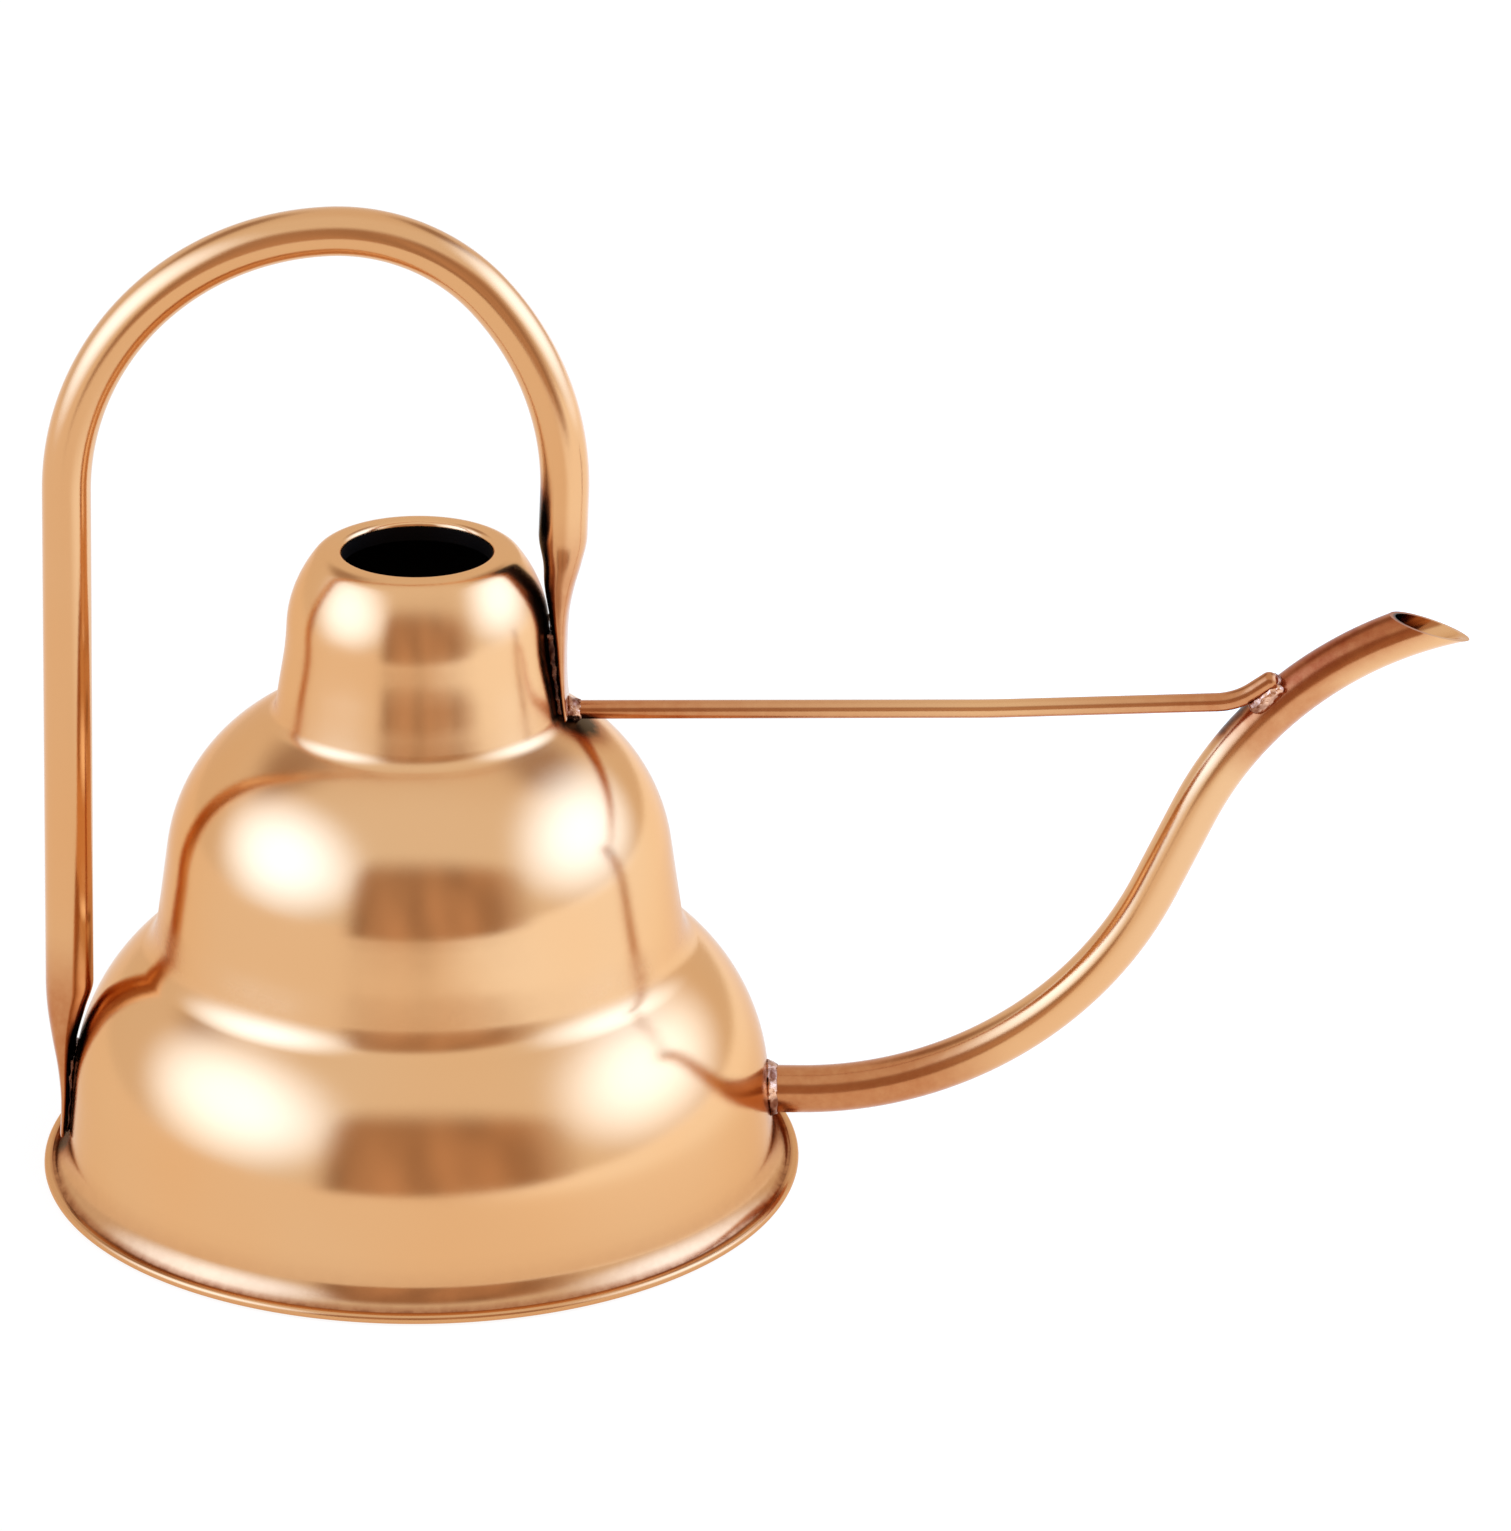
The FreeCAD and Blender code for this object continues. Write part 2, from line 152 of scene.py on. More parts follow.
# Painted shadow: a dark mark on the spout just below the stay rod's front end.
SPOUT_PAINTED_SHADOW = (((164.5, 0.0, 100.5), (169.0, 0.0, 105.5), 4.5, 1.6),)
BLACK = 2
PLATEAU = 1.7            # how steeply the colour fades from the middle of a place
LEG_SHADE_TOP = 158.0     # the inner edge of the handle's front leg is painted with black shade below this height
LEG_SHADE_FADE = 14.0
LEG_SHADE_EDGE = (3, 1.2)   # how sharply that edge ends, and how narrow it is
PRESSED_SHADE_EDGE = 2      # how sharply the painted shade behind a pressed end stops at its sides


# ---- outlines made of lines and arcs -------------------------------------------------------------

def line(start, end):
    return ("line", start, end)


def arc(centre, radius, start, end):
    return ("arc", centre, radius, start, end)


def on_circle(centre, radius, angle):
    a = math.radians(angle)
    return (centre[0] + radius * math.cos(a), centre[1] + radius * math.sin(a))


def ends(segment):
    if segment[0] == "line":
        return segment[1], segment[2]
    _, centre, radius, start, end = segment
    return on_circle(centre, radius, start), on_circle(centre, radius, end)


def walk(segments, line_step, arc_step, small_arc_step):
    """Points along the segments with each one's heading in degrees: rows of (x, z, heading)."""
    rows = []
    for segment in segments:
        if segment[0] == "line":
            (x0, z0), (x1, z1) = segment[1:]
            length = math.hypot(x1 - x0, z1 - z0)
            heading = math.degrees(math.atan2(z1 - z0, x1 - x0))
            count = max(1, math.ceil(length / line_step))
            rows += [(x0 + (x1 - x0) * i / count, z0 + (z1 - z0) * i / count, heading)
                     for i in range(count + 1)]
        else:
            _, centre, radius, start, end = segment
            step = small_arc_step if radius < SMALL_BEND else arc_step
            count = max(2, math.ceil(abs(end - start) / step))
            side = math.copysign(90, end - start)
            for i in range(count + 1):
                angle = start + (end - start) * i / count
                rows.append((*on_circle(centre, radius, angle), angle + side))
    kept = [rows[0]]
    for row in rows[1:]:
        if math.dist(row[:2], kept[-1][:2]) > SAME_POINT:
            kept.append(row)
    return kept


def trail(start, heading, moves):
    """Segments of a path. A move is (length,) for a straight or (radius, turn), left positive."""
    segments, point = [], start
    for move in moves:
        if len(move) == 1:
            a = math.radians(heading)
            end = (point[0] + move[0] * math.cos(a), point[1] + move[0] * math.sin(a))
            segments.append(line(point, end))
        else:
            radius, turn = move
            side = math.copysign(90, turn)
            centre = on_circle(point, radius, heading + side)
            segments.append(arc(centre, radius, heading - side, heading - side + turn))
            heading += turn
        point = ends(segments[-1])[1]
    return segments


def wall_offset(tier):
    a = math.radians(tier["lean"])
    r, z = tier["centre"]
    return r * math.cos(a) + z * math.sin(a) + tier["radius"]


def waist(below, above, fillet):
    """The hollow fillet between a tier's shoulder and the next wall: its centre, and the angle on the
    shoulder at which it starts."""
    a = math.radians(above["lean"])
    r, z = below["centre"]
    reach = below["radius"] + fillet
    along = (wall_offset(above) + fillet - r * math.cos(a) - z * math.sin(a)) / reach
    angle = above["lean"] + math.degrees(math.acos(along))
    return on_circle(below["centre"], reach, angle), angle


def foot_bends():
    """The two hollow bends that carry the flange's top into the lowest wall."""
    tight, wide = FOOT_BENDS
    a = math.radians(LOWER["lean"])
    handover = 270 - FOOT_TURN
    shift = on_circle((0, 0), wide - tight, handover)
    tight_z = FLANGE_TOP + tight
    reach = wall_offset(LOWER) + wide + shift[0] * math.cos(a) + (shift[1] - tight_z) * math.sin(a)
    tight_r = reach / math.cos(a)
    wide_centre = (tight_r - shift[0], tight_z - shift[1])
    return [
        arc((tight_r, tight_z), tight, 270, handover),
        arc(wide_centre, wide, handover, 180 + LOWER["lean"]),
    ]


def waist_rows():
    """Both waists, as (tier below, tier above, fillet)."""
    return (LOWER, MIDDLE, WAIST_FILLETS[0]), (MIDDLE, UPPER, WAIST_FILLETS[1])


def body_outline():
    """The body's outer surface from the flange's edge up to the mouth."""
    bends = foot_bends()
    segments = [line((FLANGE_R, FLANGE_TOP), ends(bends[0])[0])] + bends
    for below, above, fillet in waist_rows():
        centre, angle = waist(below, above, fillet)
        wall_top = on_circle(below["centre"], below["radius"], below["lean"])
        segments += [
            line(ends(segments[-1])[1], wall_top),
            arc(below["centre"], below["radius"], below["lean"], angle),
            arc(centre, fillet, angle + 180, above["lean"] + 180),
        ]
    wall_top = on_circle(UPPER["centre"], UPPER["radius"], UPPER["lean"])
    crest_centre = on_circle(UPPER["centre"], UPPER["radius"] - CREST_R, CREST_START)
    crest_z = crest_centre[1] + CREST_R
    lip_centre = (MOUTH_R + LIP_BEND_R, crest_z - LIP_BEND_R)
    return segments + [
        line(ends(segments[-1])[1], wall_top),
        arc(UPPER["centre"], UPPER["radius"], UPPER["lean"], CREST_START),
        arc(crest_centre, CREST_R, CREST_START, 90),
        line((crest_centre[0], crest_z), (lip_centre[0], crest_z)),
        arc(lip_centre, LIP_BEND_R, 90, 180),
        line((MOUTH_R, lip_centre[1]), (MOUTH_R, lip_centre[1] - LIP_DEPTH)),
    ]


def hollowed(row):
    """A row of the body's outline with the slight hollow in the top tier's wall."""
    x, z, heading = row
    height, reach, depth = HOLLOW
    return (x - depth * math.exp(-((z - height) / reach) ** 2), z, heading)


def inner_side(outer, thickness):
    """The other side of a sheet whose one surface is the rows, in the opposite order, as (x, z)."""
    inner = []
    for x, z, heading in outer:
        a = math.radians(heading + 90)
        inner.append((x + thickness * math.cos(a), z + thickness * math.sin(a)))
    return inner[::-1]


# ---- meshes --------------------------------------------------------------------------------------

def add_object(name, mesh):
    obj = bpy.data.objects.new(name, mesh)
    bpy.context.scene.collection.objects.link(obj)
    return obj


def new_mesh(name, verts, faces, grain, painted_shade, heat_and_shade, dull=0.0):
    """A smooth mesh in metres from millimetres. Grain is the polish's own coordinates at each vertex.
    Painted shade says where dark shade is painted on; heat and shade says where the torch's colour lies and
    where more shade is painted; and dull says where the polishing wheel didn't reach."""
    mesh = bpy.data.meshes.new(name)
    mesh.from_pydata([tuple(c * MM for c in v) for v in verts], [], faces)
    attribute = mesh.attributes.new("grain", "FLOAT_VECTOR", "POINT")
    attribute.data.foreach_set("vector", np.asarray(grain, np.float32).ravel())
    for title, values in (("painted_shade", painted_shade), ("torch_and_shade", heat_and_shade), ("dull", dull)):
        attribute = mesh.attributes.new(title, "FLOAT", "POINT")
        full = np.broadcast_to(np.asarray(values, np.float32), (len(verts),))
        attribute.data.foreach_set("value", np.ascontiguousarray(full))
    mesh.shade_smooth()
    mesh.set_sharp_from_angle(angle=math.radians(SHARP_ANGLE))
    mesh.validate()
    mesh.update()
    return add_object(name, mesh)


def smooth(value):
    t = min(max(value, 0.0), 1.0)
    return t * t * (3 - 2 * t)


def stain(points, places):
    """How strongly each point is coloured by the places, rows of (start, end, reach, strength)."""
    points = np.asarray(points, float)
    total = np.zeros(len(points))
    for start, end, reach, strength in places:
        start, along = np.array(start), np.array(end) - np.array(start)
        share = np.clip((points - start) @ along / max(along @ along, TINY), 0.0, 1.0)
        away = np.linalg.norm(points - start - share[:, None] * along, axis=1)
        near = np.clip((1 - away / reach) * PLATEAU, 0.0, 1.0)
        total = np.maximum(total, near * near * (3 - 2 * near) * strength)
    return total


def lathe(name, profile, around, crease_shade, heat_and_shade=(), painted_shade=(), dull=lambda r, z: 0.0):
    """Spins a profile of (r, z) about the axis. The profile is closed, or starts and ends on the axis."""
    on_axis = profile[0][0] < ON_AXIS
    verts, grain, dark, unpolished, rings = [], [], [], [], []
    run = 0.0
    for k, (r, z) in enumerate(profile):
        run += math.dist((r, z), profile[k - 1]) if k else 0.0
        count = 1 if r < ON_AXIS else around
        rings.append((len(verts), count))
        for j in range(count):
            a = 2 * math.pi * (j + 0.5) / around
            verts.append((r * math.sin(a), r * math.cos(a), z))
            grain.append((r * math.sin(a), r * math.cos(a), run))
        dark += [crease_shade(r, z)] * count
        unpolished += [dull(r, z)] * count
    faces = []
    pairs = list(zip(rings, rings[1:])) + ([] if on_axis else [(rings[-1], rings[0])])
    for (a0, an), (b0, bn) in pairs:
        for j in range(around):
            k = (j + 1) % around
            if an == 1:
                faces.append((a0, b0 + j, b0 + k))
            elif bn == 1:
                faces.append((a0 + j, b0, a0 + k))
            else:
                faces.append((a0 + j, b0 + j, b0 + k, a0 + k))
    # Painted shade from the creases and from the places in the shade tables.
    shade_marks = np.maximum(dark, stain(verts, painted_shade))
    return new_mesh(name, verts, faces, grain, shade_marks, stain(verts, heat_and_shade), unpolished)


def tube_mesh(name, rings, grain_rings, heat_and_shade, closed_ends=True, painted_shade=0.0):
    """Skins a list of rings, each the same number of points. The ends are capped, or joined as a torus."""
    size = len(rings[0])
    verts = [tuple(p) for ring in rings for p in ring]
    grain = [p for ring in grain_rings for p in ring]
    faces = []
    pairs = [(i, i + 1) for i in range(len(rings) - 1)]
    if not closed_ends:
        pairs.append((len(rings) - 1, 0))
    for i, n in pairs:
        for j in range(size):
            k = (j + 1) % size
            faces.append((i * size + j, i * size + k, n * size + k, n * size + j))
    if closed_ends:
        faces.append(tuple(reversed(range(size))))
        last = (len(rings) - 1) * size
        faces.append(tuple(range(last, last + size)))
    return new_mesh(name, verts, faces, grain, painted_shade, stain(verts, heat_and_shade))


def section(centre, heading, across, thick, count):
    """A section pressed towards two flats, long along Y, square to a heading in the XZ plane."""
    a = math.radians(heading)
    through = (math.sin(a) * thick / 2, -math.cos(a) * thick / 2)
    power = SQUARENESS_FLAT + (1 - SQUARENESS_FLAT) * thick / across
    points = []
    for i in range(count):
        t = 2 * math.pi * i / count
        u = math.copysign(abs(math.cos(t)) ** power, math.cos(t))
        v = math.copysign(abs(math.sin(t)) ** power, math.sin(t))
        points.append((centre[0] + through[0] * u, across / 2 * v, centre[1] + through[1] * u))
    return points


def ring_grain(run, radius, count):
    return [(run, radius * math.cos(2 * math.pi * i / count), radius * math.sin(2 * math.pi * i / count))
            for i in range(count)]


def flat_width(thickness):
    return math.pi * TUBE_R - (math.pi / 2 - 1) * thickness


def eased(stations, column, z):
    """A value between stations (ordered down in z), smooth through each and level at the first."""
    zs = [s[0] for s in stations]
    values = [s[column] for s in stations]
    slopes = []
    for i in range(len(zs)):
        low, high = max(i - 1, 0), min(i + 1, len(zs) - 1)
        slopes.append((values[high] - values[low]) / (zs[high] - zs[low]))
    slopes[0] = 0.0
    i = next((k for k in range(len(zs) - 1) if z >= zs[k + 1]), len(zs) - 2)
    span = zs[i + 1] - zs[i]
    t = min(max((z - zs[i]) / span, 0.0), 1.0)
    return ((2 * t ** 3 - 3 * t ** 2 + 1) * values[i] + (t ** 3 - 2 * t ** 2 + t) * span * slopes[i]
            + (-2 * t ** 3 + 3 * t ** 2) * values[i + 1] + (t ** 3 - t ** 2) * span * slopes[i + 1])


def pressed_rows(joint, stations):
    """Rows of (x, z, across, thick) down a flattened end from the round tube."""
    table = [(joint[1], joint[0], 2 * TUBE_R)] + list(stations)
    count = math.ceil((joint[1] - stations[-1][0]) / PRESSED_STEP)
    rows = []
    for i in range(1, count + 1):
        z = joint[1] + (stations[-1][0] - joint[1]) * i / count
        thick = eased(table, 2, z)
        rows.append((eased(table, 1, z), z, flat_width(thick), thick))
    x, z, across, thick = rows[-1]
    for down, share in END_ROUNDING:
        rows.append((x, z - down, across - thick * (1 - share), thick * share))
    return rows


# ---- the pieces ----------------------------------------------------------------------------------

def make_body():
    outer = [hollowed(row) for row in walk(body_outline(), *BODY_STEPS)]
    profile = [row[:2] for row in outer] + inner_side(outer, SHEET)
    waists = [waist(*row)[0][1] for row in waist_rows()]

    # Painted shade: darker in the crease above the flange and towards the wall's foot.
    def crease_shade(r, z):
        groove = smooth(1 - abs(z - FLANGE_TOP) / GROOVE_REACH)
        foot_shade = FOOT_PAINTED_SHADE * smooth(1 - z / FOOT_REACH)
        return max(groove, foot_shade) if r > WALL_FOOT_R else 0.0

    def dull(r, z):
        in_waist = max(smooth(DULL_CORE - abs(z - height) / DULL_REACH) for height in waists)
        return max(in_waist, TOP_TIER_DULL * smooth((z - waists[1]) / DULL_REACH))

    obj = lathe("body", profile, AROUND_BODY, crease_shade, BODY_HEAT, BODY_PAINTED_SHADE, dull)
    # The mouth's lip and the inside take the nearly black painted-shade material.
    inside_from = (len(outer) - LIP_ROWS) * AROUND_BODY
    for polygon in obj.data.polygons:
        if min(polygon.vertices) >= inside_from:
            polygon.material_index = 1
    return obj


def make_pan():
    roll_r = RIM_R - BEAD_BEND
    segments = trail((0, 0), 0, [(roll_r,), (BEAD_BEND, 180), (roll_r - PAN_LIP_R,)])
    outer = walk(segments, *PAN_STEPS)
    profile = [row[:2] for row in outer] + inner_side(outer, PAN_SHEET)
    profile[0] = (0.0, profile[0][1])
    profile[-1] = (0.0, profile[-1][1])

    # Painted shade in the crease where the pan's lip meets the body's flange.
    def crease_shade(r, z):
        on_lip = z > PAN_SHEET and r < PAN_LIP_R + PAN_LIP_EDGE
        return PAN_LIP_PAINTED_SHADE if on_lip else 0.0

    return lathe("base_pan_rolled", profile, AROUND_BODY, crease_shade)


def make_handle():
    path = trail(HANDLE_FOOT, 90 - HANDLE_LEAN, HANDLE_MOVES)
    hoop = walk(path, *HANDLE_STEPS)
    rear = pressed_rows(hoop[0][:2], REAR_END)[::-1]
    front = pressed_rows(hoop[-1][:2], FRONT_END)
    rows = [(x, z, 90.0, across, thick) for x, z, across, thick in rear]
    rows += [(x, z, heading, 2 * TUBE_R, 2 * TUBE_R) for x, z, heading in hoop]
    rows += [(x, z, -90.0, across, thick) for x, z, across, thick in front]
    rings, grain, painted_shade, run = [], [], [], 0.0
    for i, (x, z, heading, across, thick) in enumerate(rows):
        run += math.dist((x, z), rows[i - 1][:2]) if i else 0.0
        rings.append(section((x, z), heading, across, thick, AROUND_TUBE))
        grain.append(ring_grain(run, TUBE_R, AROUND_TUBE))
        # Painted shade: black on the sides of the pressed ends and of the front leg that face the body.
        pressed = smooth((2 * TUBE_R - thick) / TUBE_R)
        leg = smooth((LEG_SHADE_TOP - z) / LEG_SHADE_FADE) if x > 0 else 0.0
        sharp, narrow = LEG_SHADE_EDGE
        for j in range(AROUND_TUBE):
            facing_body = math.cos(2 * math.pi * j / AROUND_TUBE)
            behind = pressed * smooth(PRESSED_SHADE_EDGE * facing_body)
            painted_shade.append(BLACK * max(behind, leg * smooth(sharp * facing_body - narrow)))
    return tube_mesh("handle_hoop", rings, grain, HANDLE_HEAT, painted_shade=painted_shade)


def make_spout():
    """The spout tube with its bore, cut slanting at the tip."""
    path = trail(SPOUT_START, 0, SPOUT_MOVES)
    rows = walk(path, *SPOUT_STEPS)
    (heel_x, heel_z), (point_x, point_z) = TIP_CUT
    slope = math.atan2(point_z - heel_z, point_x - heel_x)
    normal = (-math.sin(slope), math.cos(slope))
    runs = [0.0]
    for before, after in zip(rows, rows[1:]):
        runs.append(runs[-1] + math.dist(before[:2], after[:2]))
    runs = np.array(runs)
    table = np.array(rows)

    def place(run, angle, radius):
        x, z, heading = (np.interp(run, runs, table[:, c]) for c in range(3))
        a = math.radians(heading)
        u, v = radius * math.cos(angle), radius * math.sin(angle)
        return (x - math.sin(a) * u, v, z + math.cos(a) * u)

    def above(point):
        return (point[0] - heel_x) * normal[0] + (point[2] - heel_z) * normal[1]

    def cut_run(angle, radius):
        low, high = runs[-1] * CUT_SEARCH_FROM, runs[-1]
        for _ in range(CUT_HALVINGS):
            middle = (low + high) / 2
            if above(place(middle, angle, radius)) < 0:
                low = middle
            else:
                high = middle
        return low

    def skin(radius):
        angles = [2 * math.pi * j / AROUND_TUBE for j in range(AROUND_TUBE)]
        cuts = [cut_run(angle, radius) for angle in angles]
        shared = min(cuts) - CUT_REACH
        square = [r for r in runs if r < shared]
        made = [[place(r, angle, radius) for angle in angles] for r in square]
        for i in range(CUT_RINGS + 1):
            made.append([place(shared + (cut - shared) * i / CUT_RINGS, angle, radius)
                         for cut, angle in zip(cuts, angles)])
        grain_runs = square + [shared + i for i in range(CUT_RINGS + 1)]
        return made, [ring_grain(r, radius, AROUND_TUBE) for r in grain_runs]

    outer, outer_grain = skin(TUBE_R)
    inner, inner_grain = skin(TUBE_R - TUBE_WALL)
    rings = outer + inner[::-1]
    inside_from = len(outer) * AROUND_TUBE
    points = [p for ring in rings for p in ring]
    painted_shade = stain(points, SPOUT_PAINTED_SHADOW)
    # Painted shade: the bore is black, fading out towards the open point.
    for i in range(inside_from, len(points)):
        painted_shade[i] = BLACK * smooth((BRIGHT_BORE_FROM - points[i][0]) / BORE_FADE)
    grain = outer_grain + inner_grain[::-1]
    obj = tube_mesh("spout", rings, grain, SPOUT_HEAT, closed_ends=False, painted_shade=painted_shade)
    dark_until = (BRIGHT_BORE_FROM - BORE_FADE) * MM
    for polygon in obj.data.polygons:
        if min(polygon.vertices) >= inside_from and polygon.center.x < dark_until:
            polygon.material_index = 1
    return obj


def rod_points():
    """The stay rod's centreline with a tangent arc at each inner corner."""
    corners = [Vector(p) for p in ROD_POINTS]
    points = [corners[0]]
    for before, corner, after, radius in zip(corners, corners[1:], corners[2:], ROD_BENDS):
        back, ahead = (before - corner).normalized(), (after - corner).normalized()
        half = back.angle(ahead) / 2
        reach = radius / math.tan(half)
        centre = corner + (back + ahead).normalized() * (radius / math.sin(half))
        first, last = corner + back * reach, corner + ahead * reach
        spread = (first - centre).angle(last - centre)
        axis = (first - centre).cross(last - centre).normalized()
        for i in range(ROD_BEND_STEPS + 1):
            turn = Matrix.Rotation(spread * i / ROD_BEND_STEPS, 3, axis)
            points.append(centre + turn @ (first - centre))
    points.append(corners[-1])
    return points


def make_rod():
    points = rod_points()
    rows = [(p, ROD_R) for p in points[:-1]]
    last = (points[-1] - points[-2]).normalized()
    for i in range(ROD_END_STEPS + 1):
        angle = math.radians(ROD_END_STEP * i)
        rows.append((points[-1] + last * ROD_R * (math.sin(angle) - 1), ROD_R * math.cos(angle)))
    rings, grain, run = [], [], 0.0
    for i, (p, radius) in enumerate(rows):
        ahead = last if i > len(points) - 2 else (points[i + 1] - points[max(i - 1, 0)]).normalized()
        side = ahead.cross(Vector((0, 1, 0))).normalized()
        other = ahead.cross(side).normalized()
        run += (p - rows[i - 1][0]).length if i else 0.0
        rings.append([p + side * radius * math.cos(t) + other * radius * math.sin(t)
                      for t in (2 * math.pi * j / AROUND_ROD for j in range(AROUND_ROD))])
        grain.append(ring_grain(run, ROD_R, AROUND_ROD))
    return tube_mesh("stay_rod_bent", rings, grain, ROD_HEAT_AND_SHADE)


DROP_SUBDIVISIONS = 3
SOLDER_SMOOTHING = 3
LUMP_SCALES = (0.55, 1.3)        # of the coarse and the fine unevenness, per millimetre
FINE_LUMPS = 0.5
LUMP_SHIFTS = (3.1, 1.7, 5.3)    # so that each piece is uneven in its own way


def drop(centre, size):
    """A small ball of solder: (centre, radii) in millimetres, as a mesh in metres."""
    shape = bmesh.new()
    bmesh.ops.create_icosphere(shape, subdivisions=DROP_SUBDIVISIONS, radius=1.0)
    for v in shape.verts:
        v.co = Vector(((centre[i] + v.co[i] * size[i]) * MM for i in range(3)))
    mesh = bpy.data.meshes.new("drop")
    shape.to_mesh(mesh)
    shape.free()
    return mesh


def make_lumpy(name, node, drops, voxel, height, seed):
    """Solder with the CAD node's shape and a few more drops run together, then made uneven."""
    shape = bmesh.new()
    shape.from_mesh(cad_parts[node].data)
    for centre, size in drops:
        shape.from_mesh(drop(centre, size))
    mesh = bpy.data.meshes.new(name)
    shape.to_mesh(mesh)
    shape.free()
    obj = add_object(name, mesh)
    remesh = obj.modifiers.new("skin", "REMESH")
    remesh.mode = "VOXEL"
    remesh.voxel_size = voxel * MM
    soften = obj.modifiers.new("smooth", "SMOOTH")
    soften.iterations = SOLDER_SMOOTHING
    bpy.context.view_layer.update()
    skinned = bpy.data.meshes.new_from_object(obj.evaluated_get(bpy.context.evaluated_depsgraph_get()))
    obj.modifiers.clear()
    obj.data = skinned
    normals = [v.normal.copy() for v in skinned.vertices]
    shift = Vector([seed * c for c in LUMP_SHIFTS])
    coarse, fine = LUMP_SCALES
    for v, normal in zip(skinned.vertices, normals):
        spot = v.co / MM
        lump = noise.noise(spot * coarse + shift) + FINE_LUMPS * noise.noise(spot * fine + shift)
        v.co += normal * (height * MM * lump)
    skinned.shade_smooth()
    return obj


# ---- materials -----------------------------------------------------------------------------------

class Shader:
    """A small helper for building a node tree. A socket given as an input is linked, a value is set."""

    def __init__(self, name, tree_owner=None):
        """Starts a new material's tree, or takes the tree of the owner given."""
        self.owner = tree_owner or bpy.data.materials.new(name)
        self.owner.use_nodes = True
        self.tree = self.owner.node_tree
        self.tree.nodes.clear()

    def add(self, kind, inputs=(), **settings):
        node = self.tree.nodes.new("ShaderNode" + kind)
        for key, value in settings.items():
            setattr(node, key, value)
        for key, value in dict(inputs).items():
            if isinstance(value, bpy.types.NodeSocket):
                self.tree.links.new(value, node.inputs[key])
            else:
                node.inputs[key].default_value = value
        return node

    def noise(self, vector, scale, detail=2.0, roughness=0.5):
        node = self.add("TexNoise", {"Vector": vector, "Scale": scale, "Detail": detail,
                                     "Roughness": roughness})
        return node.outputs["Fac"]

    def stretch(self, vector, scale):
        return self.add("Mapping", {"Vector": vector, "Scale": scale}).outputs["Vector"]

    def range(self, value, low, high, to_low, to_high):
        """Maps low..high to to_low..to_high. A noise mostly stays between 0.3 and 0.8."""
        node = self.add("MapRange", {"Value": value, "From Min": low, "From Max": high,
                                     "To Min": to_low, "To Max": to_high})
        return node.outputs["Result"]

    def soft_step(self, value, low, high):
        """Rises smoothly from 0 at low to 1 at high."""
        inputs = {"Value": value, "From Min": low, "From Max": high, "To Min": 0.0, "To Max": 1.0}
        return self.add("MapRange", inputs, interpolation_type="SMOOTHSTEP").outputs["Result"]

    def math(self, operation, a, b):
        return self.add("Math", {0: a, 1: b}, operation=operation).outputs[0]

    def mix(self, factor, a, b):
        """Mixes two colours, by the Mix node's own numbers for its colour sockets."""
        node = self.add("Mix", {"Factor": factor, 6: a, 7: b}, data_type="RGBA")
        return node.outputs[2]

    def finish(self, surface, kind="OutputMaterial"):
        """Links the surface to an output, and gives back the material or world."""
        output = self.add(kind)
        self.tree.links.new(surface, output.inputs["Surface"])
        return self.owner


def rgba(colour):
    return (*colour, 1.0)


COPPER = (0.752, 0.429, 0.205)
COPPER_WARM = (0.765, 0.405, 0.175)
COPPER_DRAWN = (0.62, 0.29, 0.115)
# Painted shade: brown, then black where the shade is deepest.
PAINTED_SHADE_BROWN = (0.36, 0.12, 0.045)
PAINTED_SHADE_BLACK = (0.012, 0.005, 0.004)
# Heat colours near the joints, also used as painted shade under the stay rod.
HEATED_AND_SHADE_BROWN = (0.50, 0.18, 0.065)
SCORCHED_AND_SHADE_DARK = (0.32, 0.065, 0.02)
SPUN_EDGE = (0.90, 0.74, 0.60)   # the tint of the body seen edge on, under a trace of lacquer
INSIDE_SHADE_BROWNS = (0.004, 0.002, 0.001), (0.012, 0.006, 0.003)
# The dark tones are painted shade: the solder at the handle's tabs is coloured dark where it sits in shade.
SOLDER_TONES = {"bright": ((0.80, 0.44, 0.27), (0.24, 0.08, 0.04)),
                "dark": ((0.20, 0.085, 0.05), (0.05, 0.02, 0.015))}

# How the polishing lines are stretched, per metre: round the body's axis, or along a tube.
SPUN_GRAIN = (30.0, 30.0, 9000.0)
TUBE_GRAIN = (60.0, 6000.0, 6000.0)

# Noise patterns: (scale, detail, roughness), the first two on the stretched lines, the others per metre.
LINES = (1.0, 3.0, 0.6)
BANDS = (1.0, 2.0)
HAZE = (38.0, 4.0, 0.62)
TINT = (16.0, 2.0)
SWELL = (42.0, 1.0)
MOTTLE = (420.0, 3.0, 0.6)
INSIDE_BLOTCH = (60.0, 4.0, 0.65)
SOLDER_LUMPS = (700.0, 3.0, 0.6)
SOLDER_PATCHES = (260.0, 3.0, 0.6)
BAND_STRETCH = 0.12          # the bands are this much coarser than the lines

# Depths of bumps, in metres.
RIPPLE_DEPTH = 0.00006
LINE_DEPTH = 0.000004
INSIDE_DEPTH = 0.00008
SOLDER_DEPTH = 0.0003

# Roughness added by the polishing lines, by heat and the shade painted with it, by painted shade, and where
# the wheel didn't reach.
LINE_BLUR = 0.04
HEAT_AND_SHADE_BLUR = 0.05
PAINTED_SHADE_BLUR = 0.05
DULL_BLUR = (0.13, 0.19)

LEAST_DRAWN = 0.3            # of a drawn skin's colour, between its streaks
SPUN_STREAK = 0.6            # how much further reflections blur up and down than sideways
QUARTER_TURN = 0.25


